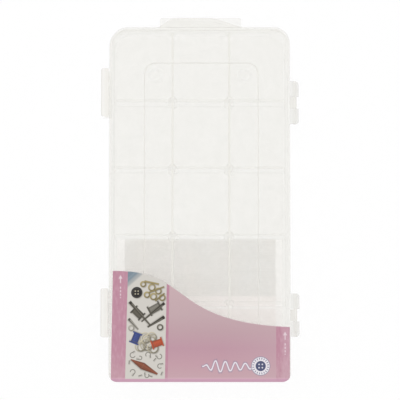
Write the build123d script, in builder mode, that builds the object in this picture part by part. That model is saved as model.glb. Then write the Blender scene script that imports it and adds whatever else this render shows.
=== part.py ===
from build123d import *
import math
import os

# Compartment box for embroidery thread and small haberdashery: a shallow moulded tray with four
# fixed cross walls and ten loose dividers, a hinged lid, two snap-on latches and a wrapped label.
#
# Lengths are millimetres. +Z is up and z = 0 is the plane that the feet stand on. +Y points at the
# end with the lift tab, +X at the hinge side. The origin is in the middle of the body's width and of
# the whole length with the tab, so the body's own centre sits half of the tab's reach towards -Y,
# and every sketch is drawn from that centre.

# Body
box_width = 100.0
box_length = 196.0
box_height = 22.0
latch_side_corner = 10.5
hinge_side_corner = 9.2
label_end_corner = 4.8

# Heights of the tray and the lid
foot_height = 0.8
floor_thickness = 1.2
flange_bottom = 13.9
flange_top = 15.4
rim_top = 20.0
skirt_bottom = 15.6
plate_thickness = 1.0
recess_depth = 0.6

# Walls
skirt_thickness = 1.2
rim_clearance = 0.2
wall_lean = 0.6
wall_thickness = 1.2
underside_round = 0.9
lid_round = 1.5

# Compartments
row_count = 5
row_pitch = 37.35
row_shift = 1.1
grid_shift = 0.7
cross_wall_foot = 2.2
pocket_draft = 1.0
pocket_corner = 1.2
divider_x = 15.7
divider_thickness = 1.2
divider_top = 19.6
divider_round = 0.4
slot_width = 1.4
slot_play = 0.1
post_radius = 2.3
post_top = 19.3
end_post_depth = 1.6
end_post_root = 0.8
end_post_round = 0.9

# Feet, stacking recess and moulding mark
foot_x = 25.0
foot_y = 73.5
foot_shift = 0.4
foot_outer_radius = 4.3
foot_inner_radius = 2.6
recess_width = 63.5
recess_length = 156.0
recess_corner = 6.5
recess_shift = 0.95
recess_slope = 0.7
gate_radius = 4.0
gate_depth = 0.3

# Lift tabs: a thin straight one on the tray, an arched one with a raised rim on the lid
tab_reach = 6.0
tray_tab_width = 45.2
tray_tab_shift = 0.5
tray_tab_corner = 1.2
tray_tab_thickness = 0.8
lid_tab_root = (-26.0, 28.5)
lid_tab_crest = (-12.5, 3.0)
lid_tab_reach = 5.6
lid_tab_thickness = 1.0
lid_tab_rim_width = 2.0
lid_tab_rim_height = 0.8

# Hinges
hinge_x = 52.7
hinge_z = 15.4
hinge_centres = (56.3, -61.4)
hinge_pin_radius = 1.0
hinge_bore_radius = 1.05
lug_width = 6.4
lug_radius = 1.1
knuckle_radius = 2.3
knuckle_length = 8.5
knuckle_round = 1.8
knuckle_gap = 0.2
knuckle_mouth = 1.7
web_height = 3.2

# Latches
latch_centres = (61.55, -60.2)
latch_length = 26.9
latch_pivot_x = -51.4
latch_pivot_z = 6.5
latch_pin_radius = 1.0
latch_bore_radius = 1.05
latch_barrel_radius = 2.4
latch_plate = 1.3
latch_top = 21.4
latch_reach = 4.4
latch_gap = 0.3
latch_mouth = 1.7
latch_round = 1.2
latch_edge = 0.4
latch_shoulder = 9.5
latch_foot_length = 22.0
latch_shoulder_round = 6.0
ear_spacing = 14.0
ear_width = 2.0
ear_radius = 1.7
ear_side_gap = 0.3
ear_window_top = 9.8
latch_pin_length = 21.6
catch_length = 24.0
catch_bottom = 16.0
catch_top = 17.0
catch_reach = 1.0
catch_play = 0.15
nib_height = 1.3

# Labels
film = 0.15
label_left = -47.6
label_left_end = -48.6
label_right = 49.4
label_fold_bottom = 15.8
label_sweep = [(label_left, -37.3), (-3.0, -37.3), (-17.4, -65.5), (label_right, -68.1)]
back_label_half_width = 46.0
back_label_start = -18.7
back_label_top = 13.6
foot_hole_radius = 4.9

# Worked-out values
body_y = -tab_reach / 2
half_width = box_width / 2
half_length = box_length / 2
floor_top = foot_height + floor_thickness
rim_inset = skirt_thickness + rim_clearance
floor_inset = rim_inset + wall_lean
wall_draft = math.degrees(math.atan(wall_lean / (flange_bottom - foot_height)))
recess_draft = math.degrees(math.atan(recess_slope / recess_depth))
plate_bottom = box_height - plate_thickness
pocket_width = box_width - 2 * (floor_inset + wall_thickness)
pocket_end = half_length - floor_inset - wall_thickness
cross_walls = [row_shift + (row + 1 - row_count / 2) * row_pitch for row in range(row_count - 1)]
row_edges = [-pocket_end]
for wall_y in cross_walls:
    row_edges += [wall_y - cross_wall_foot / 2, wall_y + cross_wall_foot / 2]
row_edges.append(pocket_end)
rows = [(row_edges[2 * row], row_edges[2 * row + 1]) for row in range(row_count)]
divider_places = {side: grid_shift + side * divider_x for side in (-1, 1)}
foot_places = {side: foot_shift + side * foot_x for side in (-1, 1)}
end_post_y = pocket_end - (end_post_depth - end_post_root) / 2
knuckle_offset = lug_width / 2 + knuckle_gap + knuckle_length / 2
hinge_pin_length = lug_width + 2 * (knuckle_gap + knuckle_length)
plate_outer = latch_pivot_x - latch_barrel_radius
plate_inner = plate_outer + latch_plate
lip_outer = -half_width - latch_reach
nose = -half_width - latch_gap
nib_bottom = catch_top + catch_play
window_width = ear_width + 2 * ear_side_gap


def level(z):
    """Horizontal plane at height z, centred on the body."""
    return Plane(origin=(0, body_y, z))


def upright(y):
    """Upright plane across the box at body length y, drawn in X and Z and facing -Y."""
    return Plane(origin=(0, body_y + y, 0), x_dir=(1, 0, 0), z_dir=(0, -1, 0))


def round_tab_end(sketch, latch_side_radius, hinge_side_radius):
    """Round the two corners of the open sketch that are nearest the tab end."""
    fillet(sketch.vertices().group_by(Axis.Y)[-1].sort_by(Axis.X)[0], latch_side_radius)
    fillet(sketch.vertices().group_by(Axis.Y)[-1].sort_by(Axis.X)[-1], hinge_side_radius)


def draw_body(sketch, inset):
    """Draw the body's rounded outline in the open sketch, inset all round."""
    Rectangle(box_width - 2 * inset, box_length - 2 * inset)
    round_tab_end(sketch, latch_side_corner - inset, hinge_side_corner - inset)
    fillet(sketch.vertices().group_by(Axis.Y)[0], label_end_corner - inset)


def draw_disc(x, y, radius, mode=Mode.ADD):
    """Draw a disc in the open sketch."""
    with Locations((x, y)):
        Circle(radius, mode=mode)


# Plain outer form of the tray below its flange: drafted walls with a rounded underside
with BuildPart() as tray_form:
    with BuildSketch(level(foot_height)) as underside_outline:
        draw_body(underside_outline, floor_inset)
    extrude(amount=flange_bottom - foot_height, taper=-wall_draft)
    fillet(tray_form.edges().group_by(Axis.Z)[0], underside_round)

# Plain outer form of the lid: an upright skirt with a rounded top edge
with BuildPart() as lid_form:
    with BuildSketch(level(skirt_bottom)) as lid_outline:
        draw_body(lid_outline, 0)
    extrude(amount=box_height - skirt_bottom)
    fillet(lid_form.edges().group_by(Axis.Z)[-1], lid_round)


# Tray: walls, flange, rim, pockets, split posts, feet, lift tab, hinge lugs and latch ears
with BuildPart() as base_tray:
    add(tray_form.part)
    with BuildSketch(level(flange_bottom)) as flange_outline:
        draw_body(flange_outline, 0)
    extrude(amount=flange_top - flange_bottom)
    with BuildSketch(level(flange_top)) as rim_outline:
        draw_body(rim_outline, rim_inset)
    extrude(amount=rim_top - flange_top)

    # One drafted pocket a row leaves the cross walls standing between them
    for row_start, row_end in rows:
        with BuildSketch(level(floor_top)) as pocket:
            with Locations((0, (row_start + row_end) / 2)):
                Rectangle(pocket_width, row_end - row_start)
            inner_corner = floor_inset + wall_thickness
            if row_end == pocket_end:
                round_tab_end(pocket, latch_side_corner - inner_corner, hinge_side_corner - inner_corner)
            else:
                round_tab_end(pocket, pocket_corner, pocket_corner)
            near_corner = label_end_corner - inner_corner if row_start == -pocket_end else pocket_corner
            fillet(pocket.vertices().group_by(Axis.Y)[0], near_corner)
        extrude(amount=rim_top - floor_top, taper=-pocket_draft, mode=Mode.SUBTRACT)

    # Round posts on the cross walls and half posts on the end walls carry the dividers
    with BuildSketch(level(floor_top)) as posts:
        for side in (-1, 1):
            for wall_y in cross_walls:
                draw_disc(divider_places[side], wall_y, post_radius)
            for end in (-1, 1):
                with Locations((divider_places[side], end * end_post_y)):
                    RectangleRounded(2 * post_radius, end_post_depth + end_post_root, end_post_round)
    extrude(amount=post_top - floor_top)
    with BuildSketch(level(floor_top)) as slots:
        for row_start, row_end in rows:
            for side in (-1, 1):
                with Locations((divider_places[side], (row_start + row_end) / 2)):
                    Rectangle(slot_width, row_end - row_start)
    extrude(amount=rim_top - floor_top, mode=Mode.SUBTRACT)

    # Ring feet and the shallow well that hides the moulding gate
    with BuildSketch(level(0)) as feet:
        for side in (-1, 1):
            for end in (-1, 1):
                draw_disc(foot_places[side], end * foot_y, foot_outer_radius)
                draw_disc(foot_places[side], end * foot_y, foot_inner_radius, mode=Mode.SUBTRACT)
    extrude(amount=foot_height)
    with BuildSketch(level(foot_height)) as gate_well:
        Circle(gate_radius)
    extrude(amount=gate_depth, mode=Mode.SUBTRACT)

    # Lift tab
    with BuildSketch(level(flange_bottom)) as tray_tab:
        with Locations((tray_tab_shift, half_length - rim_inset)):
            Rectangle(tray_tab_width, tab_reach + rim_inset, align=(Align.CENTER, Align.MIN))
        fillet(tray_tab.vertices().group_by(Axis.Y)[-1], tray_tab_corner)
    extrude(amount=tray_tab_thickness)

    # Hinge lugs reach out under the lid's swing, each with a pin that stands out on both sides
    for hinge_y in hinge_centres:
        with BuildSketch(upright(hinge_y + lug_width / 2)) as lug:
            Polygon(
                (half_width - rim_clearance, flange_bottom),
                (half_width - rim_clearance, flange_top - rim_clearance),
                (hinge_x, hinge_z + lug_radius),
                (hinge_x, hinge_z - lug_radius),
                align=None,
            )
            draw_disc(hinge_x, hinge_z, lug_radius)
        extrude(amount=lug_width)
        with BuildSketch(upright(hinge_y + hinge_pin_length / 2)) as hinge_pin:
            draw_disc(hinge_x, hinge_z, hinge_pin_radius)
        extrude(amount=hinge_pin_length)

    # Latch ears in pairs, joined by the pin that the latch snaps onto
    for latch_y in latch_centres:
        for side in (-1, 1):
            ear_y = latch_y + side * ear_spacing / 2
            with BuildSketch(upright(ear_y + ear_width / 2)) as ear:
                Polygon(
                    (-half_width + rim_inset + wall_lean, latch_pivot_z - ear_radius),
                    (latch_pivot_x, latch_pivot_z - ear_radius),
                    (latch_pivot_x, latch_pivot_z + ear_radius),
                    (-half_width + rim_inset + wall_lean, latch_pivot_z + 2 * ear_radius),
                    align=None,
                )
                draw_disc(latch_pivot_x, latch_pivot_z, ear_radius)
            extrude(amount=ear_width)
        with BuildSketch(upright(latch_y + latch_pin_length / 2)) as latch_pin:
            draw_disc(latch_pivot_x, latch_pivot_z, latch_pin_radius)
        extrude(amount=latch_pin_length)


# Outline of the lid's arched lift tab, from its root in the skirt to its crest
with BuildSketch(level(skirt_bottom)) as lid_tab_outline:
    crest_y = half_length + lid_tab_reach
    root_y = half_length - skirt_thickness / 2
    with BuildLine():
        Line((lid_tab_crest[0], crest_y), (lid_tab_crest[1], crest_y))
        Spline((lid_tab_crest[1], crest_y), (lid_tab_root[1], half_length), tangents=((1, 0), (1, 0)))
        Polyline(
            (lid_tab_root[1], half_length),
            (lid_tab_root[1], root_y),
            (lid_tab_root[0], root_y),
            (lid_tab_root[0], half_length),
        )
        Spline((lid_tab_root[0], half_length), (lid_tab_crest[0], crest_y), tangents=((1, 0), (1, 0)))
    make_face()


# Lid: skirt, plate with a sloped stacking recess, lift tab, hinge knuckles and catch ribs
with BuildPart() as lid:
    add(lid_form.part)
    with BuildSketch(level(skirt_bottom)) as hollow_outline:
        draw_body(hollow_outline, skirt_thickness)
    extrude(amount=plate_bottom - skirt_bottom, mode=Mode.SUBTRACT)
    with BuildSketch(level(plate_bottom - recess_depth)) as step_outline:
        with Locations((recess_shift, 0)):
            RectangleRounded(
                recess_width + 2 * plate_thickness,
                recess_length + 2 * plate_thickness,
                recess_corner + plate_thickness,
            )
    extrude(amount=recess_depth)
    with BuildSketch(level(box_height)) as recess_outline:
        with Locations((recess_shift, 0)):
            RectangleRounded(recess_width, recess_length, recess_corner)
    extrude(amount=-recess_depth, taper=recess_draft, mode=Mode.SUBTRACT)

    # Arched lift tab over the tray's tab, with a crescent-shaped rim along its crest
    extrude(lid_tab_outline.sketch, amount=lid_tab_thickness)
    with BuildSketch(level(skirt_bottom)) as lid_tab_rim:
        add(lid_tab_outline.sketch_local)
        with Locations((0, -lid_tab_rim_width)):
            add(lid_tab_outline.sketch_local, mode=Mode.SUBTRACT)
    extrude(amount=lid_tab_thickness + lid_tab_rim_height)

    # Knuckles, two to a hinge: round-ended barrels on webs, open below to snap over the tray's pin
    for hinge_y in hinge_centres:
        for side in (-1, 1):
            knuckle_y = hinge_y + side * knuckle_offset
            with BuildSketch(level(hinge_z)) as barrel_profile:
                with Locations((hinge_x, knuckle_y)):
                    Rectangle(knuckle_radius, knuckle_length, align=(Align.MIN, Align.CENTER))
                corners = barrel_profile.vertices().group_by(Axis.X)[-1].sort_by(Axis.Y)
                fillet(corners[-1 if side > 0 else 0], knuckle_round)
            revolve(axis=Axis((hinge_x, 0, hinge_z), (0, 1, 0)))
            with BuildSketch(upright(knuckle_y + knuckle_length / 2)) as web:
                Polygon(
                    (half_width - skirt_thickness / 2, skirt_bottom),
                    (half_width - skirt_thickness / 2, hinge_z + web_height),
                    (half_width, hinge_z + web_height),
                    (hinge_x, hinge_z + knuckle_radius),
                    (hinge_x, skirt_bottom),
                    align=None,
                )
            extrude(amount=knuckle_length)
            with BuildSketch(upright(knuckle_y + knuckle_length / 2)) as knuckle_bore:
                draw_disc(hinge_x, hinge_z, hinge_bore_radius)
                with Locations((hinge_x, hinge_z)):
                    Rectangle(knuckle_mouth, 2 * knuckle_radius, align=(Align.CENTER, Align.MAX))
            extrude(amount=knuckle_length, mode=Mode.SUBTRACT)

    # Catch ribs that the latches pull down on
    for latch_y in latch_centres:
        with BuildSketch(upright(latch_y + catch_length / 2)) as catch:
            Polygon(
                (-half_width + skirt_thickness / 2, catch_bottom),
                (-half_width - catch_reach / 2, catch_bottom),
                (-half_width - catch_reach, catch_bottom + catch_reach / 2),
                (-half_width - catch_reach, catch_top),
                (-half_width + skirt_thickness / 2, catch_top),
                align=None,
            )
        extrude(amount=catch_length)


def make_latch(latch_y):
    """Make the snap-on latch centred at latch_y: barrel, plate, capped top and inner nib."""
    with BuildPart() as latch:
        with BuildSketch(upright(latch_y + latch_length / 2)):
            draw_disc(latch_pivot_x, latch_pivot_z, latch_barrel_radius)
            Polygon(
                (plate_outer, latch_pivot_z),
                (plate_outer, latch_top - 2 * latch_plate),
                (lip_outer, latch_top - latch_plate),
                (lip_outer, latch_top),
                (nose, latch_top),
                (nose, latch_top - latch_plate),
                (plate_inner, latch_top - latch_plate),
                (plate_inner, nib_bottom + nib_height),
                (nose, nib_bottom + nib_height / 2),
                (nose, nib_bottom),
                (plate_inner, nib_bottom),
                (plate_inner, latch_pivot_z),
                align=None,
            )
            draw_disc(latch_pivot_x, latch_pivot_z, latch_bore_radius, mode=Mode.SUBTRACT)
            with Locations((latch_pivot_x, latch_pivot_z)):
                Rectangle(
                    2 * latch_barrel_radius,
                    latch_mouth,
                    align=(Align.MIN, Align.CENTER),
                    mode=Mode.SUBTRACT,
                )
        extrude(amount=latch_length)
        fillet(latch.edges().filter_by(Axis.Z).group_by(Axis.X)[0], latch_round)
        fillet(latch.edges().group_by(Axis.Z)[-1], latch_edge)
        # Shoulders that narrow the latch towards its barrel
        with BuildSketch(Plane(origin=(0, body_y + latch_y, 0), x_dir=(0, 1, 0), z_dir=(1, 0, 0))) as front:
            Polygon(
                (-latch_length / 2, box_height),
                (latch_length / 2, box_height),
                (latch_length / 2, latch_shoulder),
                (latch_foot_length / 2, 0),
                (-latch_foot_length / 2, 0),
                (-latch_length / 2, latch_shoulder),
                align=None,
            )
            fillet(front.vertices().group_by(Axis.Y)[1], latch_shoulder_round)
        extrude(amount=-box_width, mode=Mode.INTERSECT)
        # Windows that clear the tray's ears
        for side in (-1, 1):
            window_start = latch_y + side * ear_spacing / 2 + window_width / 2
            with BuildSketch(upright(window_start)):
                with Locations((latch_pivot_x, 0)):
                    Rectangle(
                        4 * latch_barrel_radius,
                        ear_window_top,
                        align=(Align.CENTER, Align.MIN),
                    )
            extrude(amount=window_width, mode=Mode.SUBTRACT)
    return latch


def make_divider(side, row_start, row_end):
    """Make one loose divider that stands in its row's slots on the given side."""
    with BuildPart() as divider:
        with BuildSketch(level(floor_top)):
            with Locations((divider_places[side], (row_start + row_end) / 2)):
                Rectangle(divider_thickness, row_end - row_start - 2 * slot_play)
        extrude(amount=divider_top - floor_top)
        fillet(divider.faces().sort_by(Axis.Z)[-1].edges().filter_by(Axis.Y), divider_round)
    return divider


# Front label: a film over the lid's front, cut along a sweeping curve and folded over the end
with BuildPart() as label_front:
    with BuildSketch(level(label_fold_bottom)) as film_outline:
        draw_body(film_outline, -film)
    extrude(amount=box_height + film - label_fold_bottom)
    fillet(label_front.edges().group_by(Axis.Z)[-1], lid_round + film)
    add(lid_form.part, mode=Mode.SUBTRACT)
    with BuildSketch(level(label_fold_bottom)) as label_cut:
        with BuildLine():
            Bezier(*label_sweep)
            Polyline(
                label_sweep[-1],
                (label_right, -box_length),
                (label_left_end, -box_length),
                (label_left_end, -half_length),
                label_sweep[0],
            )
        make_face()
    extrude(amount=box_height, mode=Mode.INTERSECT)

# Back label: the same film round the tray's end and underside, punched out round the feet
with BuildPart() as label_back:
    with BuildSketch(level(foot_height - film)) as back_outline:
        draw_body(back_outline, floor_inset - film)
    extrude(amount=back_label_top - foot_height + film, taper=-wall_draft)
    fillet(label_back.edges().group_by(Axis.Z)[0], underside_round + film)
    add(tray_form.part, mode=Mode.SUBTRACT)
    with BuildSketch(level(0)) as back_cut:
        with Locations((0, back_label_start)):
            Rectangle(2 * back_label_half_width, box_length, align=(Align.CENTER, Align.MAX))
        for side in (-1, 1):
            draw_disc(foot_places[side], -foot_y, foot_hole_radius, mode=Mode.SUBTRACT)
    extrude(amount=box_height, mode=Mode.INTERSECT)


pieces = {
    "base_tray": base_tray,
    "lid": lid,
    "latch_tab_end": make_latch(latch_centres[0]),
    "latch_label_end": make_latch(latch_centres[1]),
    "label_front": label_front,
    "label_back": label_back,
}
for number, (row_start, row_end) in enumerate(reversed(rows), start=1):
    for side_name, side in (("left", -1), ("right", 1)):
        pieces[f"divider_row{number}_{side_name}"] = make_divider(side, row_start, row_end)

os.makedirs("parts", exist_ok=True)
for name, piece in pieces.items():
    piece.part.label = name
    export_step(piece.part, f"parts/{name}.step")
    print(f"{name}: {piece.part.volume:.0f} mm3, {len(piece.part.solids())} solid(s)")
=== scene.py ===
# %% [markdown]
# # A thread box in frosted plastic
# The real thing is a shallow organiser for skeins of embroidery thread, moulded in natural
# polypropylene: milky, half clear, and so thin that walls, posts and dividers show through its lid.
# The solid model already has every moulded shape, so this lesson is mostly about finish. It loads
# that model as a fixed frame, and then gives each piece its plastic or its print.

# %% Load the frame
import math
from collections import namedtuple
import bmesh
import bpy
import numpy as np
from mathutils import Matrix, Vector


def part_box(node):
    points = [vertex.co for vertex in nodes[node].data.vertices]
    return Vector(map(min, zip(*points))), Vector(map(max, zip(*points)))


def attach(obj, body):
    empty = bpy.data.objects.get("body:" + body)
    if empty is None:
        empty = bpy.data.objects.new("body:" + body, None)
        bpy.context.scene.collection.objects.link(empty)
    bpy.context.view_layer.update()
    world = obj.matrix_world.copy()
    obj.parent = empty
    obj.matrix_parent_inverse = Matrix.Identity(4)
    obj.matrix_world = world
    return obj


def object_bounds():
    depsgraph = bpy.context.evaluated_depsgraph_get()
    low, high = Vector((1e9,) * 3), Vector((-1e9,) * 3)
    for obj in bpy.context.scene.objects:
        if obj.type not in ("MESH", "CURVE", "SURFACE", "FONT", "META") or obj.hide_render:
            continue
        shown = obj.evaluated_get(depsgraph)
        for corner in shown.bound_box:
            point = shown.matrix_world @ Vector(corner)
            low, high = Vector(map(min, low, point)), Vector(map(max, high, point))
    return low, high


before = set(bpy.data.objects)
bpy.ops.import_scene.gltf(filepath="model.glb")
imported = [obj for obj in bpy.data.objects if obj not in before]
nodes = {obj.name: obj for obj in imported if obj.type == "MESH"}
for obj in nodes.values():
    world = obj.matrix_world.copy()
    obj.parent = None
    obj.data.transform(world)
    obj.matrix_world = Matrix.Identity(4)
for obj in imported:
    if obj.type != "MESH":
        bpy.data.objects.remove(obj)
cad_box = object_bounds()
mm = 0.001
print("frame:", len(nodes), "nodes, from", tuple(cad_box[0]), "to", tuple(cad_box[1]))

# %% [markdown]
# ## Camera
# A shallow box is best shown from nearly straight above through a long lens, so that the grid of
# walls stays square. A plain top view would do that too, but it would hide how deep the box is.
# So the camera stands a metre or so over the lid and leans a few degrees towards the labelled end,
# and each wall shows a sliver of its near face. Light that crosses frosted plastic meets many
# layers, so the count of clear layers is raised as well.

# %% Camera
camera_distance = 1.25
camera_lean = math.radians(4.5)
frame_span = 0.22186
aim = Vector((0.0002, -0.0005, 0.012))
sensor = 36.0
clear_layers = 32

camera_data = bpy.data.cameras.new("camera")
camera_data.sensor_width = sensor
camera_data.lens = sensor * camera_distance / frame_span
camera = bpy.data.objects.new("camera", camera_data)
camera.rotation_euler = (camera_lean, 0, 0)
camera.location = aim + camera_distance * Vector((0, -math.sin(camera_lean), math.cos(camera_lean)))
bpy.context.scene.collection.objects.link(camera)
bpy.context.scene.camera = camera
bpy.context.scene.view_settings.view_transform = "Standard"
bpy.context.scene.cycles.transparent_max_bounces = clear_layers
print("lens", round(camera_data.lens, 1), "mm")

# %% [markdown]
# ## Nodes
# A material is a web of nodes. Each could be made in a few lines where it is needed, but they would
# be the same lines every time. So every node comes from one function, which sets the node's choices
# first, because they decide which inputs it has, and then gives the inputs a value or a wire.


# %% Making a node
def plug(tree, node, sockets):
    """Give each named or numbered input of a node its value, or the wire that feeds it."""
    for place, value in sockets.items():
        if isinstance(value, Wire):
            tree.links.new(value.socket, node.inputs[place])
        else:
            node.inputs[place].default_value = value


def set_stops(ramp, stops):
    """Give a colour ramp its stops, each a place from 0 to 1 and a colour."""
    while len(ramp.elements) < len(stops):
        ramp.elements.new(1.0)
    for stop, (place, shade) in zip(ramp.elements, stops):
        stop.position = place
        stop.color = shade


def make_node(tree, kind, settings, sockets, output=0):
    """Make a node: its choices first, then its inputs. Returns the wire from one output."""
    node = tree.nodes.new(kind)
    for name, value in settings.items():
        if name == "stops":
            set_stops(node.color_ramp, value)
        else:
            setattr(node, name, value)
    plug(tree, node, sockets)
    return Wire(tree, node.outputs[output])


print("node maker ready")

# %% [markdown]
# ## Shader sums
# A pattern in a material is a sum on numbers that change over the surface. Drawn by hand, dozens of
# Math nodes are hard to read. Here a small class wraps an output, so that a pattern is written as
# plain Python and each operator adds its Math node.


# %% Wires
class Wire:
    """A wire from a node's output. Sums on it add Math nodes."""

    def __init__(self, tree, socket):
        self.tree = tree
        self.socket = socket

    def math(self, operation, first, second=0.0, clamp=False):
        settings = {"operation": operation, "use_clamp": clamp}
        return make_node(self.tree, "ShaderNodeMath", settings, {0: first, 1: second})

    def __add__(self, other):
        return self.math("ADD", self, other)

    __radd__ = __add__

    def __sub__(self, other):
        return self.math("SUBTRACT", self, other)

    def __rsub__(self, other):
        return self.math("SUBTRACT", other, self)

    def __mul__(self, other):
        return self.math("MULTIPLY", self, other)

    __rmul__ = __mul__

    def __truediv__(self, other):
        return self.math("DIVIDE", self, other)

    def __abs__(self):
        return self.math("ABSOLUTE", self)

    def power(self, exponent):
        return self.math("POWER", self, exponent)

    def sine(self):
        return self.math("SINE", self)

    def cosine(self):
        return self.math("COSINE", self)

    def fraction(self):
        return self.math("FRACT", self)

    def whole(self):
        return self.math("FLOOR", self)

    def angle(self, other):
        return self.math("ARCTAN2", self, other)

    def clamped(self):
        return self.math("ADD", self, 0.0, clamp=True)

    def at_least(self, other):
        return self.math("MAXIMUM", self, other)

    def at_most(self, other):
        return self.math("MINIMUM", self, other)

    def inside(self, soft=0.12):
        """A mask: 1 where this distance is below zero, fading over the soft width."""
        return (0.5 - self / soft).clamped()


def long_side(x, y):
    """The distance of a point from the origin, from its two parts."""
    return (x * x + y * y).power(0.5)


print("shader sums ready")

# %% [markdown]
# ## Finishes
# A finish is one material. It could be a loose set of nodes, but the patterns below all ask for the
# same few things: the place of the point in millimetres, a noise, a blend of two colours. So one
# class keeps the node tree and the shader together, and a pattern reads as a short recipe.


# %% Finishes
class Finish:
    """One material: makes its nodes and sets the sockets of its shader."""

    def __init__(self, name):
        self.material = bpy.data.materials.new(name)
        self.material.use_nodes = True
        self.tree = self.material.node_tree
        self.shader = self.tree.nodes["Principled BSDF"]

    def node(self, kind, output, settings=None, sockets=None):
        return make_node(self.tree, kind, settings or {}, sockets or {}, output)

    def set(self, **sockets):
        """Set the shader's sockets, named with _ for each space."""
        plug(self.tree, self.shader, {name.replace("_", " "): value for name, value in sockets.items()})

    def axes(self, vector):
        return [self.node("ShaderNodeSeparateXYZ", axis, {}, {"Vector": vector}) for axis in "XYZ"]

    def place(self):
        """The point's place in millimetres, as its three parts."""
        return [axis * (1 / mm) for axis in self.axes(self.node("ShaderNodeTexCoord", "Object"))]

    def vector(self, x, y, z):
        return self.node("ShaderNodeCombineXYZ", "Vector", {}, {"X": x, "Y": y, "Z": z})

    def noise(self, vector, scale, detail=2.0):
        sockets = {"Vector": vector, "Scale": scale, "Detail": detail}
        return self.node("ShaderNodeTexNoise", "Fac", {}, sockets)

    def blend(self, share, first, second):
        """A colour from the first to the second, as the share goes from 0 to 1."""
        # a Mix node's sockets share their names, so the ones for colours go by number
        sockets = {0: share, 6: first, 7: second}
        return self.node("ShaderNodeMix", 2, {"data_type": "RGBA"}, sockets)

    def let_light_through(self, alpha, share):
        """Less alpha for light on its way than for sight, as in plastic that scatters it onward."""
        shadow = self.node("ShaderNodeLightPath", "Is Shadow Ray")
        bounced = self.node("ShaderNodeLightPath", "Is Diffuse Ray")
        return alpha * (1.0 - share * shadow.at_least(bounced))

    def bump(self, height, depth):
        sockets = {"Height": height, "Distance": depth, "Strength": 1.0}
        return self.node("ShaderNodeBump", "Normal", {}, sockets)


def colour(red, green, blue):
    """A colour written as 0 to 255 on a screen, as the linear values that a shader takes."""
    levels = (value / 255 for value in (red, green, blue))
    linear = [level / 12.92 if level < 0.04045 else ((level + 0.055) / 1.055) ** 2.4 for level in levels]
    return (*linear, 1.0)


print("finishes ready, middle grey is", round(colour(128, 128, 128)[0], 3))

# %% [markdown]
# ## Where things are
# The patterns follow the moulding. Their places could be typed in, but they would be wrong as soon
# as the box is remade. So they are read from the frame where it has them: the posts stand in line
# with the dividers, a cross wall stands between two rows of them, and the body's near end is the
# near end of the whole box.

# %% Places read from the frame
row_count = 5
half_width = 50.0
half_length = 98.0

row_boxes = [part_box(f"divider_row{row}_left") for row in range(1, row_count + 1)]
right_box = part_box("divider_row1_right")
left_x = (row_boxes[0][0][0] + row_boxes[0][1][0]) / 2 / mm
right_x = (right_box[0][0] + right_box[1][0]) / 2 / mm
grid_x = (left_x + right_x) / 2
post_spread = (right_x - left_x) / 2
wall_places = [(far[0][1] + near[1][1]) / 2 / mm for far, near in zip(row_boxes, row_boxes[1:])]
row_pitch = (wall_places[0] - wall_places[-1]) / (len(wall_places) - 1)
wall_middle = (wall_places[0] + wall_places[-1]) / 2
body_middle = cad_box[0][1] / mm + half_length
print("walls at", [round(place, 1) for place in wall_places], "body middle", round(body_middle, 2))

# %% [markdown]
# ## Frosted plastic
# Frosted polypropylene scatters light without hiding what lies beneath. A real scattering volume
# is slow and noisy here, where a ray crosses a lid, a rim, a wall and a floor. Instead each surface
# is a thin veil: mostly clear, partly a bright satin white, so that layers add up to the milky tone.
# The veil thickens on rounded edges, where a real wall is seen at a slant, and thins on upright
# faces. Upright faces are also painted a lighter white than flat ones: painted light, which makes up
# for the light that walls inside the box lose among the layers round them. Light on its way from a
# lamp or another surface gets through it more easily than sight does, because frosting scatters
# light onward. Two noises make it a little uneven, and a third is its grain.


# %% Frosted plastic
veil = 0.20
veil_on_bends = 0.11
veil_on_walls = -0.10
cloud_scale, cloud_depth = 0.06, 0.04
mottle_scale, mottle_depth = 0.22, 0.05
grain_scale, grain_depth = 2.2, 0.02 * mm
light_let_through = 0.93
milky = colour(226.5, 224.5, 217.5)
# painted light: upright faces get this lighter white instead of the milky tone
upright_painted_light = colour(247, 246, 242)

# a point of the moulding, and how far its face looks up: 1 up, 0 sideways, -1 down
Spot = namedtuple("Spot", "x y z upward")


def upright(at):
    """A mask of the faces that stand upright, or nearly."""
    return (1.0 - abs(at.upward) * 1.4).clamped()


def bent(at):
    """A mask that is strongest on faces halfway between flat and upright."""
    flat = abs(at.upward)
    return (1.0 - flat * flat).clamped().power(0.5) * flat * 2.0


def frosted_plastic(name, density, tone):
    """Make a plastic. Its density changes the veil's alpha, and its tone the veil's colour."""
    finish = Finish(name)
    upward = finish.axes(finish.node("ShaderNodeTexCoord", "Normal"))[2]
    at = Spot(*finish.place(), upward)
    spot = finish.vector(at.x, at.y, at.z)
    cloud = finish.noise(spot, cloud_scale) - 0.5
    mottle = finish.noise(spot, mottle_scale, 3.0) - 0.5
    grain = finish.noise(spot, grain_scale, 3.0)
    alpha = veil + veil_on_bends * bent(at) + veil_on_walls * upright(at)
    alpha = density(alpha + cloud_depth * cloud + mottle_depth * mottle, at)
    # upright faces are painted lighter than flat ones: painted light
    finish.set(
        Base_Color=tone(finish, finish.blend(upright(at), milky, upright_painted_light), at),
        Roughness=0.30 + 0.08 * grain,
        IOR=1.49,
        Alpha=finish.let_light_through(alpha, light_let_through).clamped(),
        Normal=finish.bump(grain, grain_depth),
    )
    return finish.material


print("frosted plastic:", round(100 * veil), "per cent of a plain surface is veil")

# %% [markdown]
# ## Places on the moulding
# Seen from above, a standing wall is a deep column of plastic under a narrow top, so its top looks
# denser than a plate, and a solid post denser still. Each such place is a mask, worked out as a
# distance from a shape in millimetres. Painting the masks by hand would tie them to one mesh, and
# these sums still fit if the moulding is remade.

# %% Masks along the outline
corner_radius = 9.0
strip_width = 2.0
mask_soft = 0.4
hinge_side_start = half_width + 0.2
latch_side_start = -hinge_side_start
tab_start = body_middle + half_length + 0.1


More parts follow.
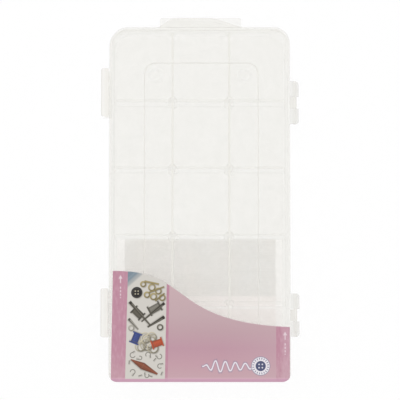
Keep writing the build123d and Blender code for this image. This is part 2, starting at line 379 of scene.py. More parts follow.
def past_hinge_wall(at):
    return (hinge_side_start - at.x).inside(mask_soft)


def past_latch_wall(at):
    return (at.x - latch_side_start).inside(mask_soft)


def past_tab_wall(at):
    return (tab_start - at.y).inside(mask_soft)


def from_outline(at):
    """How far inside the body's rounded outline a place is."""
    past_x = (abs(at.x) - (half_width - corner_radius)).at_least(0.0)
    past_y = (abs(at.y - body_middle) - (half_length - corner_radius)).at_least(0.0)
    return corner_radius - long_side(past_x, past_y)


def outer_strip(at):
    """The strip along the outline that faces up: the moulding is a touch clearer there."""
    on_body = (-0.1 - from_outline(at)).inside(0.3)
    return (from_outline(at) - strip_width).inside(1.0) * on_body * at.upward.clamped()


def outer_side(at, depth):
    """The upright faces within a depth of the outline: the walls that are seen from the side."""
    return (from_outline(at) - depth).inside(mask_soft) * upright(at)


print("outline: corners of", corner_radius, "mm, the lift tab starts at", round(tab_start, 2))

# %% [markdown]
# Inside the box the pattern repeats: every row has the same posts and walls, one pitch apart. So
# a place is folded into one row by its fraction of a pitch, and one post serves for all of them.

# %% Masks of walls and posts
top_height = 18.6
foot_height = 4.0
post_radius = 2.3
post_foot_radius = 3.0
wall_foot_half = 1.5
end_margin = 4.0
wall_reach = (wall_places[0] - wall_places[-1]) / 2 + end_margin


def tops(at):
    """The faces that look up, as high as only rims, posts, dividers and latches are."""
    return (top_height - at.z).inside(mask_soft) * at.upward.clamped()


def near_floor(at):
    return (at.z - foot_height).inside(1.0)


def between_rows(at):
    """The part of the box that has cross walls, without its two end walls."""
    return (abs(at.y - wall_middle) - wall_reach).inside(0.5)


def to_cross_wall(at):
    """The distance from the middle of the nearest cross wall."""
    return abs(((at.y - wall_places[-1]) / row_pitch + 0.5).fraction() - 0.5) * row_pitch


def to_post(at):
    """The distance from the middle of the nearest post."""
    return long_side(abs(abs(at.x - grid_x) - post_spread), to_cross_wall(at))


def post_tops(at):
    return tops(at) * (to_post(at) - post_radius).inside(0.5) * between_rows(at)


def post_feet(at):
    """The floor right round each post, where it flares into its foot."""
    return (to_post(at) - post_foot_radius).inside(0.8) * near_floor(at) * between_rows(at)


def wall_feet(at):
    """The rounded foot where a cross wall stands on the floor."""
    return (to_cross_wall(at) - wall_foot_half).inside(mask_soft) * near_floor(at) * between_rows(at)


print("posts", round(2 * post_spread, 1), "mm apart across, rows", round(row_pitch, 2), "mm apart")

# %% [markdown]
# ## The tray
# The tray has most of the moulding: feet, walls, posts, hinge lugs and latch ears. Its deep places
# get more veil, and their colour is painted a shade darker, as painted shade for the light that is
# lost in so much plastic. Its outer walls keep the plain milky colour, without the painted light of
# upright faces. Outside the walls, the hinge lugs are thick and get more veil too, while the latch
# ears are thin and get less, as do the ring feet under the floor. A material for each place would
# leave a seam between them, so it is one material, and each place adds its amount under a soft mask.

# %% Tray plastic
tray_side_depth = 2.6
ring_foot_height = 0.75
top_veil, post_top_veil = 0.02, 0.12
wall_foot_veil, post_foot_veil, ring_foot_veil = 0.05, 0.10, -0.04
side_veil, lug_veil = 0.12, 0.22
ear_clearing, tray_strip_clearing = 0.6, 0.15
post_shade_share, foot_shade_share = 0.6, 0.4
# painted shade: the darker colour for post tops, wall feet and a latch plate's outer face
deep_painted_shade = colour(207, 206, 201)


def ring_feet(at):
    return (at.z - ring_foot_height).inside(0.1)


def tray_density(alpha, at):
    """The veil of the tray, from the plain veil."""
    alpha = alpha + top_veil * tops(at) + post_top_veil * post_tops(at)
    alpha = alpha + wall_foot_veil * wall_feet(at) + post_foot_veil * post_feet(at)
    alpha = alpha + ring_foot_veil * ring_feet(at) + lug_veil * past_hinge_wall(at)
    alpha = alpha + side_veil * outer_side(at, tray_side_depth)
    alpha = alpha * (1.0 - ear_clearing * past_latch_wall(at))
    return alpha * (1.0 - tray_strip_clearing * outer_strip(at))


def tray_tone(finish, shade, at):
    """The colour of the tray, from the plain colour."""
    # the outer walls go back to plain milky, without the painted light of upright faces
    shade = finish.blend(outer_side(at, tray_side_depth), shade, milky)
    # post tops and wall feet are painted darker: painted shade for the light lost in so much plastic
    deep = (post_shade_share * post_tops(at)).at_least(foot_shade_share * wall_feet(at))
    return finish.blend(deep, shade, deep_painted_shade)


tray_plastic = frosted_plastic("tray_plastic", tray_density, tray_tone)
print("tray:", len(tray_plastic.node_tree.nodes), "nodes")

# %% [markdown]
# ## The lid
# The lid is a plain plate with a skirt, so what shows is its edges: a band over the tray's flange
# and rim, the narrow slope round its stacking recess, its lift tab, and its knuckles, which are
# solid and bright. The band's colour is painted darker, as painted shade where lid and tray overlap,
# and the knuckles' colour is painted a lighter white: painted light on their solid plastic.

# %% Lid plastic
lid_side_depth = 0.5
recess_inset = 5.0
slope_upward = 0.75
band_from, band_to = 1.4, 4.2
hinge_side_band = 44.0
band_veil, slope_veil = 0.05, 0.24
knuckle_veil, tab_veil = 0.18, 0.05
lid_strip_clearing = 0.2
band_shade_share = 0.25
# painted light on the knuckles, and painted shade on the band over the flange and rim
knuckle_painted_light = colour(232, 231, 227)
band_painted_shade = colour(214, 212, 205)


def flange_band(at):
    """The flat band a little inside the outline, over the tray's flange and rim."""
    inset = from_outline(at)
    off_hinge_side = 1.0 - 0.6 * (hinge_side_band - at.x).inside(4.0)
    in_band = (inset - band_to).inside(1.5) * (band_from - inset).inside(1.4)
    return in_band * abs(at.upward) * off_hinge_side


def recess_slope(at):
    """The slope round the recess: well inside the outline, and neither flat nor upright."""
    slant = (abs(abs(at.upward) - slope_upward) - 0.15).inside(0.1)
    return slant * (recess_inset - from_outline(at)).inside()


def lid_density(alpha, at):
    """The veil of the lid, from the plain veil."""
    alpha = alpha + band_veil * flange_band(at) + slope_veil * recess_slope(at)
    alpha = alpha + knuckle_veil * past_hinge_wall(at) + tab_veil * past_tab_wall(at)
    alpha = alpha + side_veil * outer_side(at, lid_side_depth)
    return alpha * (1.0 - lid_strip_clearing * outer_strip(at))


def lid_tone(finish, shade, at):
    """The colour of the lid, from the plain colour."""
    # the outer walls go back to plain milky, without the painted light of upright faces
    shade = finish.blend(outer_side(at, lid_side_depth), shade, milky)
    # painted shade on the band where the lid lies over the tray's flange and rim
    shade = finish.blend(band_shade_share * flange_band(at), shade, band_painted_shade)
    # painted light: the knuckles get a lighter white
    return finish.blend(past_hinge_wall(at), shade, knuckle_painted_light)


lid_plastic = frosted_plastic("lid_plastic", lid_density, lid_tone)
print("lid:", len(lid_plastic.node_tree.nodes), "nodes")

# %% [markdown]
# ## Dividers and latches
# A divider is a loose plate on edge. From above only its top shows, through the whole height of
# the plate, so the top is nearly solid. A latch's plate is seen on edge too, under a cap that is
# almost white, and its barrel further down is thin. The tops of dividers and the latch caps are
# painted a lighter white than the milky plastic, as painted light, and the outer face of a latch's
# plate is painted darker, as painted shade.

# %% Divider and latch plastic
latch_face = 53.9
barrel_height = 10.0
divider_top_veil, cap_veil, latch_line_veil = 0.50, 0.50, 0.05
barrel_clearing = 0.5
latch_line_shade_share = 0.5
# painted light: the lighter whites of divider tops and latch caps
top_painted_light = colour(232, 230, 223.5)
cap_painted_light = colour(236, 234, 229)


def divider_density(alpha, at):
    return alpha + divider_top_veil * tops(at)


def divider_tone(finish, shade, at):
    # divider tops painted lighter: painted light
    return finish.blend(tops(at), shade, top_painted_light)


def latch_line(at):
    """The outer face of a latch's plate, a thin line from above."""
    return (at.x + latch_face).inside(0.5)


def latch_density(alpha, at):
    """The veil of a latch: thin at its barrel, dense at its cap."""
    alpha = alpha * (1.0 - barrel_clearing * (at.z - barrel_height).inside(1.0))
    return alpha + cap_veil * tops(at) + latch_line_veil * latch_line(at)


def latch_tone(finish, shade, at):
    # latch caps painted lighter, as painted light; the plate's outer face painted darker, as painted
    # shade
    shade = finish.blend(tops(at), shade, cap_painted_light)
    return finish.blend(latch_line_shade_share * latch_line(at), shade, deep_painted_shade)


divider_plastic = frosted_plastic("divider_plastic", divider_density, divider_tone)
latch_plastic = frosted_plastic("latch_plastic", latch_density, latch_tone)
print("plastics:", tray_plastic.name, lid_plastic.name, divider_plastic.name, latch_plastic.name)

# %% [markdown]
# ## The printed front label
# The real box is closed with one printed film that wraps its labelled end. The frame has it cut at
# the seam, so that this front part opens with the lid. The print could be an image, but an image
# blurs when the camera comes near. Here it is laid out as a printer would do it, in millimetres,
# and each shape on it is a mask: a distance from the shape, cut off at zero. The film went round
# the box a little askew, so its upright lines lean, the more so on the left.

# %% Label layout
picture_left, picture_right = -40.1, -18.5
line_right = -17.0
band_left = 41.9
# the fold's place, and half the width of the painted highlight along it
fold_y, fold_highlight_half = -99.4, 0.3
lean_middle_y = -72.0
print_roughness = 0.42
print_let_through = 0.7


def lean(x):
    """How far the label's upright lines lean, as a slope, at a place across the box."""
    return 0.0125 - 0.0003 * x


def rise(value, start, end):
    """A share that goes from 0 where a value is at its start to 1 at its end."""
    return ((value - start) / (end - start)).clamped()


def lay_inks(finish, shade, inks):
    """Print inks over a colour in turn. Each has a mask, a strength and its own colour."""
    for mask, strength, ink in inks:
        shade = finish.blend(mask * strength, shade, ink)
    return shade


print("label: a picture", round(picture_right - picture_left, 1), "mm wide, a fold at y", fold_y)

# %% [markdown]
# A label of this kind says where to open it. Two pale arrows do that here, each with a row of
# running stitches below it. The stitches are one stitch, repeated by the fraction of its pitch.

# %% Arrow marks
arrow_tips = ((-43.4, -42.6), (46.8, -73.6))
head_length, head_spread = 2.0, 0.55
shaft_middle, shaft_reach, shaft_half = 2.6, 1.8, 0.28
stitches_middle, stitches_reach, stitch_half = 9.2, 3.4, 0.3
stitch_start, stitch_pitch, stitch_reach = 6.0, 1.9, 0.55


def arrow_mark(x, y, tip_x, tip_y):
    """A pale arrow that points up at its tip, with a row of running stitches below it."""
    aside = abs(x - tip_x)
    below = tip_y - y
    head = (aside - below * head_spread).at_least(below - head_length).at_least(y - tip_y)
    shaft = (aside - shaft_half).at_least(abs(below - shaft_middle) - shaft_reach)
    from_stitch = abs(((below - stitch_start) / stitch_pitch).fraction() - 0.5) * stitch_pitch
    row = (aside - stitch_half).at_least(abs(below - stitches_middle) - stitches_reach)
    return head.at_most(shaft).at_most(row.at_least(from_stitch - stitch_reach)).inside(0.25)


def arrow_marks(x, y):
    left, right = (arrow_mark(x, y, *tip) for tip in arrow_tips)
    return left.at_least(right)


print("arrows at", *arrow_tips)

# %% [markdown]
# A loose thread runs across the label to a sewing button. A thread could be a curve of its own,
# but ink has no thickness. A sine wave that dies out gives its line, and the distance from the
# wave is divided by its steepness, so that the line keeps one width.

# %% Thread and button
thread_start, thread_end, thread_y = 1.8, 28.6, -92.6
thread_half, thread_outline = 0.36, 0.75
wave_height, wave_loss, wave_turn, wave_run_in = 3.6, 0.085, 1.15, 7.0
button_x, button_y = 33.4, -92.4
button_radius, line_radius, line_half = 5.1, 5.05, 0.16
tick_count, tick_radius, tick_half = 20, 4.05, 0.55
dark_radius = 2.8
hole_place, hole_radius = 0.9, 0.42


def waving_thread(x, y):
    """The distance from a thread that waves less and less, with its slope allowed for."""
    along = x - thread_start
    swing = rise(x, thread_start, thread_start + wave_run_in) * (wave_height - along * wave_loss)
    turn = along * wave_turn
    slope = swing * wave_turn * turn.cosine()
    off = abs(y - (swing * turn.sine() + thread_y)) / (1.0 + slope * slope).power(0.5)
    past_ends = abs(x - (thread_start + thread_end) / 2) - (thread_end - thread_start) / 2
    return off.at_least(past_ends)


def printed_button(finish, ground, x, y):
    """A pale button with a dark middle and four holes, laid over a ground colour."""
    out = long_side(x, y)
    ticks = (y.angle(x) * (tick_count / (2 * math.pi))).fraction()
    ring = (abs(out - tick_radius) - tick_half).inside(0.2) * (abs(ticks - 0.5) - 0.2).inside(0.15)
    holes = (long_side(abs(x) - hole_place, abs(y) - hole_place) - hole_radius).inside(0.15)
    edge_line = (abs(out - line_radius) - line_half).inside(0.2)
    inks = (
        ((out - button_radius).inside(0.25), 1.0, colour(230, 225, 230)),
        (edge_line, 0.9, colour(112, 112, 140)),
        (ring, 0.85, colour(96, 100, 130)),
        ((out - dark_radius).inside(0.25), 1.0, colour(66, 72, 108)),
        (holes, 1.0, colour(214, 214, 224)),
    )
    return lay_inks(finish, ground, inks)


print("thread", round(thread_end - thread_start, 1), "mm long, button", 2 * button_radius, "mm across")

# %% [markdown]
# The label's ground is a dusty pink that changes a little down the film, so a colour ramp with a
# few stops holds it. The bands at both sides are darker, and the film creases along them: a noise
# stretched lengthways gives long folds, with a painted highlight on one side of each and painted
# shade on the other.

# %% Label ground and bands
pink_stops = [
    (0.0, colour(194, 166, 170)),
    (0.32, colour(189, 161, 166)),
    (0.5, colour(185, 152, 160)),
    (0.68, colour(184, 143, 157)),
    (0.86, colour(190, 150, 161)),
    (1.0, colour(193, 158, 166)),
]
pink_top, pink_end = -48.0, -99.0
pale_start, pale_end = 12.0, 42.0
band_end_start, band_end = -84.0, -99.0
band_edge_start, band_edge = 44.0, 46.0
crease_across, crease_along, crease_scale = 1.3, 0.45, 0.55
# where the crease noise starts to lay painted highlight and painted shade, and how fast
crease_highlight_from, crease_shade_from, crease_gain = 0.52, 0.48, 1.5


def pink_ground(finish, x, y):
    """The ground's pink: its ramp down the film, and paler towards the right."""
    down = {"Fac": rise(y, pink_top, pink_end)}
    pink = finish.node("ShaderNodeValToRGB", "Color", {"stops": pink_stops}, down)
    return lay_inks(finish, pink, [(rise(x, pale_start, pale_end), 0.35, colour(195, 165, 172))])


def creased_band(finish, x, y):
    """The darker print at a side, paler near the fold and at the outer edge."""
    film_place = finish.vector(x * crease_across, y * crease_along, 0.0)
    crease = finish.noise(film_place, crease_scale, 3.0)
    inks = (
        (rise(y, band_end_start, band_end), 1.0, colour(190, 148, 160)),
        (rise(x, band_edge_start, band_edge), 0.3, colour(208, 178, 188)),
        # painted highlight on one side of each crease, painted shade on the other
        (((crease - crease_highlight_from) * crease_gain).clamped(), 1.0, colour(214, 178, 193)),
        (((crease_shade_from - crease) * crease_gain).clamped(), 1.0, colour(168, 104, 132)),
    )
    return lay_inks(finish, colour(184, 133, 151), inks)


print("ground:", len(pink_stops), "pinks from y", pink_top, "to", pink_end)

# %% [markdown]
# The print is built up as a printer lays inks, each over the ones before: the ground, the bands,
# the line beside the picture, a painted highlight along the fold, the turned edge below it painted
# purple in place of its weaker sheen, and then the small things on top.

# %% Front label
def label_print(name):
    finish = Finish(name)
    x, y = finish.place()[:2]
    across = x - lean(x) * (y - lean_middle_y)
    line = (picture_right - across).inside() * (across - line_right).inside()
    side = (across - picture_left).inside().at_least(line).at_least((band_left - x).inside())
    fold_highlight = (abs(y - fold_y - fold_highlight_half) - fold_highlight_half).inside(0.5)
    thread = waving_thread(x, y)
    inks = (
        (side, 1.0, creased_band(finish, x, y)),
        (line, 0.4, colour(176, 118, 140)),
        # a painted highlight along the fold, and below it the turned edge painted purple, standing in
        # for its weaker sheen
        (fold_highlight, 0.5, colour(214, 174, 190)),
        ((y - fold_y).inside(0.3), 0.8, colour(200, 153, 178)),
        (arrow_marks(x, y), 0.75, colour(228, 214, 219)),
        ((thread - thread_outline).inside(0.5), 0.55, colour(120, 120, 150)),
        ((thread - thread_half).inside(0.25), 1.0, colour(226, 220, 226)),
    )
    shade = lay_inks(finish, pink_ground(finish, x, y), inks)
    shade = printed_button(finish, shade, x - button_x, y - button_y)
    alpha = finish.let_light_through(1.0, print_let_through)
    finish.set(Base_Color=shade, Roughness=print_roughness, Alpha=alpha)
    return finish.material


print_finish = label_print("label_print")
print("front label:", len(print_finish.node_tree.nodes), "nodes")

# %% [markdown]
# ## The picture on the label
# A strip of the label carries a picture of small haberdashery. It is a piece of its own, a sheet
# laid on the film: a fine grid whose upper edge follows the film's sweeping cut, read from the
# frame. Its colours are painted point by point into an attribute, because a picture of dozens of
# small things would make one slow material of many hundred nodes.

# %% The film's edge
edge_margin = 8.0
film_mesh = nodes["label_front"].data
film_points = np.zeros(len(film_mesh.vertices) * 3)
film_mesh.vertices.foreach_get("co", film_points)
film_points = film_points.reshape(-1, 3) / mm
film_top = film_points[:, 2].max()
on_top = film_points[:, 2] > film_top - 0.01
flat_points = film_points[on_top & (film_points[:, 1] > fold_y + edge_margin)]
cut_points = flat_points[np.argsort(flat_points[:, 0])]
print("the film lies at", round(film_top, 2), "mm and its cut has", len(cut_points), "points")

# %% [markdown]
# The sheet starts as a square grid of side 1, and each point moves to its share of the strip. Its
# rim is then pulled down to the film and closed below, so that the sheet is a thin solid.

# %% The picture's sheet
print_pitch = 0.18
sheet_lift = 0.02
column_count = round((picture_right - picture_left) / print_pitch)
row_steps = round((cut_points[0, 1] - fold_y) / print_pitch)
bm = bmesh.new()
bmesh.ops.create_grid(bm, x_segments=column_count, y_segments=row_steps, size=0.5)
for vert in bm.verts:
    across = picture_left + (vert.co.x + 0.5) * (picture_right - picture_left)
    top_y = np.interp(across, cut_points[:, 0], cut_points[:, 1])
    y = fold_y + (vert.co.y + 0.5) * (top_y - fold_y)
    x = across + lean(across) * (y - lean_middle_y)
    vert.co = Vector((x, y, film_top + sheet_lift)) * mm
rim = [edge for edge in bm.edges if edge.is_boundary]
skirt = bmesh.ops.extrude_edge_only(bm, edges=rim)["geom"]
skirt_verts = [item for item in skirt if isinstance(item, bmesh.types.BMVert)]
bmesh.ops.translate(bm, verts=skirt_verts, vec=(0, 0, -sheet_lift * mm))
bmesh.ops.edgeloop_fill(bm, edges=[edge for edge in bm.edges if edge.is_boundary])
bmesh.ops.recalc_face_normals(bm, faces=bm.faces)
picture_mesh = bpy.data.meshes.new("label_picture")
bm.to_mesh(picture_mesh)
bm.free()
picture = bpy.data.objects.new("label_picture", picture_mesh)
bpy.context.scene.collection.objects.link(picture)
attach(picture, "lid")
print("picture sheet:", len(picture_mesh.vertices), "points")

# %% [markdown]
# A small painter lays shapes over one another, as an illustrator would: first a soft shadow, then
# the thing itself with its shading. Rings, discs and tapered rods are enough for buttons, hooks,
# spools, needles and spindles.


# %% Painter
def paint_of(red, green, blue):
    return np.array(colour(red, green, blue)[:3])


shadow_paint = paint_of(96, 90, 78)
shadow_shift, rod_shadow_shift = 0.4, 0.45


class Painter:
    """Colours for flat points, painted shape over shape. Lengths are millimetres."""

    def __init__(self, x, y, ground):
        self.x = x
        self.y = y
        self.rgb = np.tile(ground, (len(x), 1))

    def lay(self, distance, paint, soft=0.2, strength=1.0):
        """Cover the points whose distance is below zero."""
        cover = np.clip(0.5 - distance / soft, 0, 1) * strength
        self.rgb += cover[:, None] * (paint - self.rgb)

    def from_point(self, x, y):
        return np.hypot(self.x - x, self.y - y)

    def from_ring(self, x, y, radius, width):
        return np.abs(self.from_point(x, y) - radius) - width / 2

    def ring(self, x, y, radius, width, paint):
        shadow = self.from_ring(x + shadow_shift, y - shadow_shift, radius, width)
        self.lay(shadow, shadow_paint, 0.7, 0.5)
        slope = ((self.x - x) * 0.5 - (self.y - y) * 0.85) / max(radius, 0.1)
        shade = np.clip(1.0 - 0.35 * slope, 0.5, 1.6)[:, None]
        self.lay(self.from_ring(x, y, radius, width), np.clip(paint * shade, 0, 0.95))

    def disc(self, x, y, radius, paint):
        shadow = self.from_point(x + shadow_shift, y - shadow_shift) - radius
        self.lay(shadow, shadow_paint, 0.9, 0.4)
        self.lay(self.from_point(x, y) - radius, paint)

    def line(self, start, end):
        """How far each point is along a line and beside it, and the line's length."""
        run = np.subtract(end, start)
        length = np.hypot(*run)
        along = ((self.x - start[0]) * run[0] + (self.y - start[1]) * run[1]) / length
        aside = ((self.y - start[1]) * run[0] - (self.x - start[0]) * run[1]) / length
        return along, aside, length

    def rod(self, start, end, widths, paint, shine=0.5):
        """A round bar between two places, with a width at each and a gloss line along it."""
        along, aside, length = self.line(start, end)
        half = (widths[0] + (widths[1] - widths[0]) * np.clip(along / length, 0, 1)) / 2
        past = np.maximum(-along, along - length)
        shadow = np.maximum(np.abs(aside + rod_shadow_shift) - half, past)
        self.lay(shadow, shadow_paint, 0.8, 0.5)
        turn = np.clip(aside / half, -1, 1)
        shade = (1.05 - 0.45 * turn**2 + shine * np.exp(-(((turn - 0.35) / 0.25) ** 2)))[:, None]
        self.lay(np.maximum(np.abs(aside) - half, past), np.clip(paint * shade, 0, 0.95))


print("painter ready, shadows are", shadow_paint.round(2))

# %% [markdown]
# ## What the picture shows
# The motifs are everyday things in muted metal, black, blue, red and wood: a folded cloth with
# brass rings and a black button, needles between two spools, loops of loose thread with two more
# spools, and below them hooks, pins and a turned wooden spindle. Each motif is one function.


# %% Button and spool
def button(painter, x, y, radius, paint, hole_paint):
    """A round button with a raised rim and four holes."""
    painter.disc(x, y, radius, paint)
    painter.ring(x, y, radius * 0.78, 0.3, paint * 1.8 + 0.02)
    for side in (-1, 1):
        for end in (-1, 1):
            hole = painter.from_point(x + side * radius * 0.25, y + end * radius * 0.25)
            painter.lay(hole - radius * 0.13, hole_paint)


def spool(painter, x, y, turn, length, width, thread, flange):
    """A spool seen from its side: wound thread between two flanges."""
    along = np.array((math.cos(turn), math.sin(turn)))
    aside = np.array((-along[1], along[0]))
    middle = np.array((x, y))
    reach = along * length / 2
    painter.rod(middle - reach, middle + reach, (width * 0.72, width * 0.72), thread, 0.25)
    for lap in np.arange(-0.4, 0.45, 0.16):
        centre = middle + along * length * lap
        wound = aside * width * 0.34
        painter.rod(centre - wound, centre + wound, (0.12, 0.12), thread * 0.72, 0.0)
    for end in (-1, 1):
        rim = middle + end * reach
        painter.rod(rim - aside * width / 2, rim + aside * width / 2, (0.8, 0.8), flange, 0.4)


print("motifs:", button.__name__, spool.__name__)

# %% [markdown]
# Thin metal things are rods that taper, and rings that stay open on one side. The wooden spindle
# is two tapered rods that meet where it is thickest, with lines of grain laid along it.

# %% Needle, hook and spindle
wire_width = 0.42
tail_turn, tail_length = 1.1, 1.4


def needle(painter, start, end, width, paint):
    """A needle that tapers from its eye to its point."""
    painter.rod(start, end, (width, width * 0.45), paint, 2.2)
    eye = np.array(start) + np.subtract(end, start) * 0.05
    painter.lay(painter.from_ring(*eye, width * 0.25, width * 0.3), paint * 0.3)


def pin(painter, x, y, turn, length, width, paint, shine):
    """A short thin rod that starts at a place and runs the way it is turned."""
    end = (x + length * math.cos(turn), y + length * math.sin(turn))
    painter.rod((x, y), end, (width, width), paint, shine)


def hook(painter, x, y, radius, turn, paint):
    """An open ring with a straight tail."""
    angle = np.arctan2(painter.y - y, painter.x - x) - turn
    opening = np.cos(angle) - 0.55
    painter.lay(np.maximum(painter.from_ring(x, y, radius, wire_width), opening), paint)
    tail_x = x + radius * math.cos(turn + tail_turn)
    tail_y = y + radius * math.sin(turn + tail_turn)
    pin(painter, tail_x, tail_y, turn, tail_length, wire_width, paint, 0.3)


def spindle(painter, start, end, width, paint):
    """A turned wooden rod, thickest in its middle, with grain along it."""
    middle = np.array(start) + np.subtract(end, start) * 0.45
    painter.rod(start, middle, (0.5, width), paint, 0.3)
    painter.rod(middle, end, (width, 0.9), paint, 0.3)
    along, aside, length = painter.line(start, end)
    in_wood = np.maximum(np.abs(aside) - width * 0.36, np.abs(along - length * 0.47) - length * 0.3)
    for grain in (-0.28, -0.08, 0.16):
        painter.lay(np.maximum(np.abs(aside - width * grain) - 0.07, in_wood), paint * 0.62, 0.15, 0.8)


print("motifs:", needle.__name__, pin.__name__, hook.__name__, spindle.__name__)

# %% [markdown]
# ## Painting it
# The painter works across the strip from its middle, so each x below is measured from there, and
# each y is the box's own. The first things lie at the top: a slanting cloth with its pale hem and
# a fold, six brass rings with three rods over them, and a black button.

# %% Cloth, rings and button
warm_paper = paint_of(205, 201, 194)
pale_paper = paint_of(206, 203, 198)
cloth_blue = paint_of(118, 140, 156)
hem_paint = paint_of(186, 194, 198)
brass = paint_of(148, 134, 92)
black = paint_of(34, 32, 32)
thread_paint = paint_of(176, 168, 146)
cloth_slope = 0.9
cloth_hem, cloth_edge, cloth_fold = 35.2, 37.0, 39.6

sheet_points = np.zeros(len(picture_mesh.vertices) * 3)
picture_mesh.vertices.foreach_get("co", sheet_points)
sheet_points = sheet_points.reshape(-1, 3) / mm
sheet_y = sheet_points[:, 1]
picture_middle = (picture_left + picture_right) / 2
sheet_x = sheet_points[:, 0] - lean(picture_middle) * (sheet_y - lean_middle_y) - picture_middle

painter = Painter(sheet_x, sheet_y, warm_paper)
painter.lay(-44.5 - sheet_y - 0.5 * sheet_x, pale_paper, 14.0, 0.6)
below_cloth = cloth_slope * sheet_x - sheet_y
painter.lay(below_cloth - cloth_edge, cloth_blue, 2.0, 0.8)
painter.lay(np.abs(below_cloth - cloth_hem) - 0.25, hem_paint, 0.8, 0.7)
painter.lay(below_cloth - cloth_fold, cloth_blue * 0.7, 1.6, 0.5)
ring_places = (
    (2.6, -49.4, 1.7),
    (6.2, -51.4, 1.5),
    (0.0, -53.4, 1.4),
    (8.4, -55.0, 1.5),
    (3.6, -54.4, 1.6),
    (-2.2, -47.6, 1.3),
)
for x, y, radius in ring_places:
    painter.ring(x, y, radius, 0.8, brass)
painter.rod((-1.5, -46.0), (6.5, -47.6), (1.1, 0.9), brass)
painter.rod((1.0, -52.2), (9.4, -49.0), (0.9, 0.8), brass * 0.8)
painter.rod((4.6, -56.8), (9.6, -52.6), (1.0, 0.8), brass * 0.7)
button(painter, -5.6, -52.2, 3.1, black, thread_paint)
print("painted", len(ring_places), "rings on", len(sheet_points), "points")

# %% [markdown]
# Below the button, four needles lie over two metal spools, with two small rings. Then comes loose
# thread, where each loop is a ring with a darker one beside it, under a blue spool and a red one.

# %% Spools, needles and thread
pewter = paint_of(96, 92, 82)
silver = paint_of(150, 146, 136)
red_orange = paint_of(186, 80, 48)
royal_blue = paint_of(54, 72, 136)

spool(painter, 4.4, -61.0, 0.5, 6.4, 5.8, silver * 0.7, pewter * 0.7)
spool(painter, -4.8, -63.4, -0.75, 6.0, 5.4, pewter, pewter * 0.5)
needle(painter, (-9.4, -57.2), (2.4, -70.2), 1.7, pewter * 0.6)
needle(painter, (9.8, -58.0), (-2.6, -68.2), 1.6, pewter * 0.5)
needle(painter, (9.8, -65.6), (0.8, -71.2), 1.9, pewter * 0.5)
needle(painter, (-9.6, -66.6), (-4.2, -72.4), 1.5, silver * 0.5)
painter.ring(-8.2, -71.6, 1.4, 0.5, silver)
painter.ring(7.6, -71.2, 1.4, 0.8, pewter)

loop_places = (
    (-0.6, -77.0, 2.8),
    (1.8, -78.8, 3.6),
    (0.2, -80.6, 3.2),
    (3.0, -76.4, 2.4),
    (-3.2, -81.6, 2.6),
    (3.8, -82.4, 2.8),
)
for x, y, radius in loop_places:
    painter.ring(x, y, radius, 0.5, thread_paint)
    painter.ring(x + 0.8, y - 0.5, radius * 0.8, 0.45, thread_paint * 0.6)
spool(painter, -5.6, -77.2, 1.2, 5.6, 5.4, royal_blue, royal_blue * 0.8 + 0.01)
spool(painter, 6.2, -80.0, 0.35, 5.6, 5.2, red_orange, red_orange * 0.85)
print("painted 4 spools, 4 needles and", len(loop_places), "loops of thread")

# %% [markdown]
# Last come the hooks, the spindle and a few pins near the fold. The colours are then written to
# the sheet as an attribute, one for each point.

# %% Hooks, spindle and pins
oak = paint_of(130, 76, 56)
hook_places = (
    (-7.0, -86.4, 1.4, 0.6),
    (7.6, -87.2, 1.3, 2.4),
    (1.4, -86.2, 1.3, -1.4),
    (-3.0, -88.0, 1.0, 3.0),
    (-6.8, -95.6, 1.3, 4.2),
    (8.0, -92.4, 1.2, 0.2),
    (1.0, -97.6, 1.1, 1.8),
)
pin_places = (
    (-3.6, -97.8, 0.3),
    (4.0, -98.4, 2.8),
    (8.6, -97.4, 1.2),
    (-9.0, -91.4, 1.5),
    (4.4, -89.6, 0.9),
)
for x, y, radius, turn in hook_places:
    hook(painter, x, y, radius, turn, silver * 0.55)
spindle(painter, (-8.0, -88.8), (6.8, -96.8), 3.9, oak)
for x, y, turn in pin_places:
    pin(painter, x, y, turn, 2.0, 0.4, silver * 0.5, 0.2)

shades = np.ones((len(sheet_points), 4), dtype=np.float32)
shades[:, :3] = np.clip(painter.rgb, 0, 1)
print_shades = picture_mesh.color_attributes.new("print", "FLOAT_COLOR", "POINT")
print_shades.data.foreach_set("color", shades.ravel())
print("picture painted, mean", painter.rgb.mean(axis=0).round(2))

# %% [markdown]
# The picture is printed on the same film as the rest of the label, so its material has the same
# satin. It only has to read the painted colours back from the attribute.


# %% Picture material
def picture_print(name):
    finish = Finish(name)
    shade = finish.node("ShaderNodeAttribute", "Color", {"attribute_name": "print"})
    alpha = finish.let_light_through(1.0, print_let_through)
    finish.set(Base_Color=shade, Roughness=print_roughness, IOR=1.3, Alpha=alpha)
    return finish.material


picture_mesh.materials.append(picture_print("picture_print"))
print("picture:", picture_mesh.materials[0].name)

# %% [markdown]
# ## The back label
# The same film runs on under the tray, and its small print shows up through floor and lid as a
# pale grey block with white margins. Real words would be lettering, so it has plain bars instead:
# each line of print is cut into words by a noise that differs from line to line.

# %% Back label
line_pitch = 1.5
block_middle, block_half = 0.3, 42.1
block_end_y = -53.4
rule_y, rule_half = -59.8, 0.6
word_stretch, word_share = 0.7, 0.42
line_step = 7.3


def word_bars(finish, x, y):
    """Bars for print: a soft line at every pitch, broken at random like words."""
    lines = y / line_pitch
    in_line = (abs(lines.fraction() - 0.5) - 0.27).inside(0.4)
    breaks = finish.noise(finish.vector(x * word_stretch, lines.whole() * line_step, 0.0), 1.0, 0.0)
    return in_line * (word_share - breaks).inside(0.05)


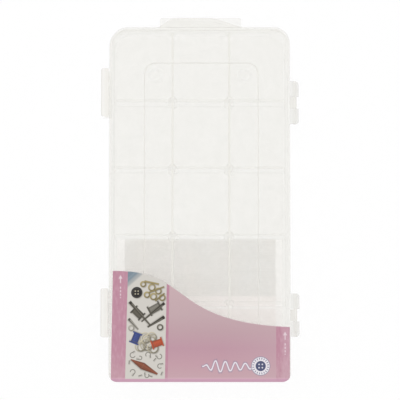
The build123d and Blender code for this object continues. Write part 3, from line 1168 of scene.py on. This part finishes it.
def label_paper(name):
    finish = Finish(name)
    x, y = finish.place()[:2]
    across = (abs(x - block_middle) - block_half).inside(0.3)
    block = across * (block_end_y - y).inside(0.3)
    below_block = across * (y - block_end_y).inside(0.3)
    rule = (abs(y - rule_y) - rule_half).inside(0.3)
    tint = (finish.noise(finish.vector(x, y * 0.6, 0.0), 0.045, 1.0) * 2.4 - 0.7).clamped()
    print_ground = finish.blend(tint, colour(234, 230, 225), colour(230, 231, 231))
    inks = (
        (block, 1.0, print_ground),
        (word_bars(finish, x, y) * block, 1.0, colour(219, 216, 214)),
        (below_block * (1.0 - rule), 1.0, colour(248, 242, 240)),
    )
    shade = lay_inks(finish, colour(255, 254, 253), inks)
    alpha = finish.let_light_through(1.0, print_let_through)
    finish.set(Base_Color=shade, Roughness=0.6, Alpha=alpha)
    return finish.material


paper_finish = label_paper("label_paper")
print("back label:", len(paper_finish.node_tree.nodes), "nodes")

# %% [markdown]
# ## Finishes on the frame's pieces
# Each moulded piece keeps its own shape and only gets its finish. The pieces could be dressed one
# by one, but the ten dividers are alike, so what has no finish of its own gets the dividers'.

# %% Dress the frame
own_finish = {
    "base_tray": tray_plastic,
    "lid": lid_plastic,
    "latch_tab_end": latch_plastic,
    "latch_label_end": latch_plastic,
    "label_front": print_finish,
    "label_back": paper_finish,
}
for node_name, node in nodes.items():
    node.data.materials.clear()
    node.data.materials.append(own_finish.get(node_name, divider_plastic))
print("finishes on", len(nodes), "pieces")

# %% [markdown]
# ## The floor
# The floor is a broad pale sheet. Brighter lamps could wash it out to white, but they would wash
# out the box too. So its material knows how it is looked at: seen directly, in gloss or through
# plastic, most of it glows as white as a page, and a tenth is a matt sheet that still shows the
# box's shadow. To all other light it is only that matt sheet.

# %% Floor
floor_size = 3.0
floor_white = (0.95, 0.95, 0.95, 1.0)
floor_glow_share = 0.9

floor_mesh = bpy.data.meshes.new("floor")
floor = bpy.data.objects.new("floor", floor_mesh)
bm = bmesh.new()
bmesh.ops.create_grid(bm, x_segments=1, y_segments=1, size=floor_size)
bm.to_mesh(floor_mesh)
bm.free()
bpy.context.scene.collection.objects.link(floor)

floor_finish = Finish("floor")
floor_finish.set(Base_Color=floor_white, Roughness=0.9)
seen = floor_finish.node("ShaderNodeLightPath", "Is Camera Ray")
glossy = floor_finish.node("ShaderNodeLightPath", "Is Glossy Ray")
through = floor_finish.node("ShaderNodeLightPath", "Is Transmission Ray")
share = floor_glow_share * seen.at_least(glossy).at_least(through)
matt = Wire(floor_finish.tree, floor_finish.shader.outputs[0])
glow = floor_finish.node("ShaderNodeEmission", "Emission")
mixed = floor_finish.node("ShaderNodeMixShader", "Shader", {}, {0: share, 1: matt, 2: glow})
plug(floor_finish.tree, floor_finish.tree.nodes["Material Output"], {"Surface": mixed})
floor_mesh.materials.append(floor_finish.material)
print("floor:", 2 * floor_size, "m across")

# %% [markdown]
# ## The light
# A frosted box looks best in a light tent, with light from all sides and a little more from one,
# so that edges and the moulding's sheen show. A ring of lamps could do it. An even white sky with
# one broad softbox at the upper left is simpler, and has no hard reflections.

# %% Light
sky_strength = 0.925
softbox_size = 1.2
softbox_power = 3.5
softbox_place = Vector((-0.2, 0.5, 1.45))

world = bpy.data.worlds.new("studio")
bpy.context.scene.world = world
world.use_nodes = True
background = world.node_tree.nodes["Background"]
background.inputs["Color"].default_value = (1, 1, 1, 1)
background.inputs["Strength"].default_value = sky_strength

lamp_data = bpy.data.lights.new("softbox", "AREA")
lamp_data.shape = "SQUARE"
lamp_data.size = softbox_size
lamp_data.energy = softbox_power
lamp = bpy.data.objects.new("softbox", lamp_data)
lamp.location = softbox_place
lamp.rotation_euler = softbox_place.to_track_quat("Z", "Y").to_euler()
bpy.context.scene.collection.objects.link(lamp)
print("softbox", round(softbox_place.length, 2), "m away")
